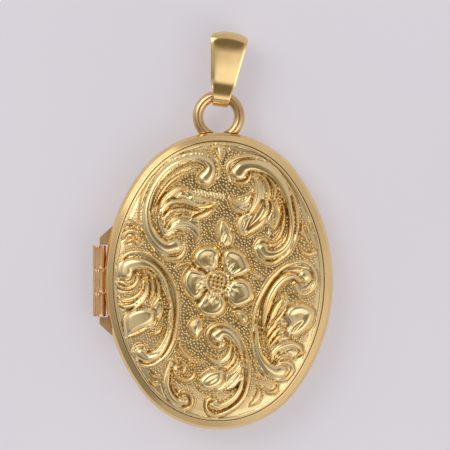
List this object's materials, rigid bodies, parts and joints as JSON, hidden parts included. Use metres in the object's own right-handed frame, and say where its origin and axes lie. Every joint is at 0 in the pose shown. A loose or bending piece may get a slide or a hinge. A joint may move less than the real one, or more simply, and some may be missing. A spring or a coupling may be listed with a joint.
{
  "type": "locket",
  "caption": "Oval picture locket with an embossed scroll-and-flower cover on a side hinge, inner picture frames, a soldered ring and a swinging folded bail.",
  "frame": {"origin": "centre of the flat back face", "axes": "+Y towards the bail, +Z out of the embossed cover, hinge on the -X side"},
  "size_m": [0.021, 0.0351, 0.0046],
  "materials": {
    "polished_gold": "yellow gold, polished, with fine handling scratches",
    "embossed_gold": "yellow gold, die-pressed relief, bright on the high points and duller in the ground",
    "inner_gold": "yellow gold, brushed and lightly polished",
    "hinge_gold": "yellow gold, drawn tube, slightly redder",
    "solder_gold": "gold solder, grainy",
    "clear_window": "clear thin sheet",
    "picture_card": "blank cream card, matt"
  },
  "bodies": {
    "case": {"back_shell": "polished_gold", "back_snap_rim": "inner_gold", "back_picture_frame": "inner_gold", "back_window": "clear_window", "back_picture_card": "picture_card", "back_hinge_bearer": "hinge_gold", "lower_knuckle": "hinge_gold", "upper_knuckle": "hinge_gold", "hinge_pin": "hinge_gold", "suspension_ring": "polished_gold", "ring_solder": "solder_gold"},
    "cover": {"cover_rim": "polished_gold", "embossed_plate": "embossed_gold", "cover_inner_rim": "inner_gold", "cover_picture_frame": "inner_gold", "cover_window": "clear_window", "cover_picture_card": "picture_card", "cover_hinge_bearer": "hinge_gold", "cover_knuckle": "hinge_gold"},
    "bail": {"bail": "polished_gold"}
  },
  "joints": [
    {"name": "cover_hinge", "type": "hinge", "parent": "case", "child": "cover", "pos_m": [-0.01045, 0, 0.0024], "axis": [0, -1, 0], "range_deg": [0, 180]},
    {"name": "bail_swing", "type": "hinge", "parent": "case", "child": "bail", "pos_m": [0.00025, 0.0162, 0.0023], "axis": [0.9903, -0.1392, 0], "range_deg": [-115, 125]}
  ]
}
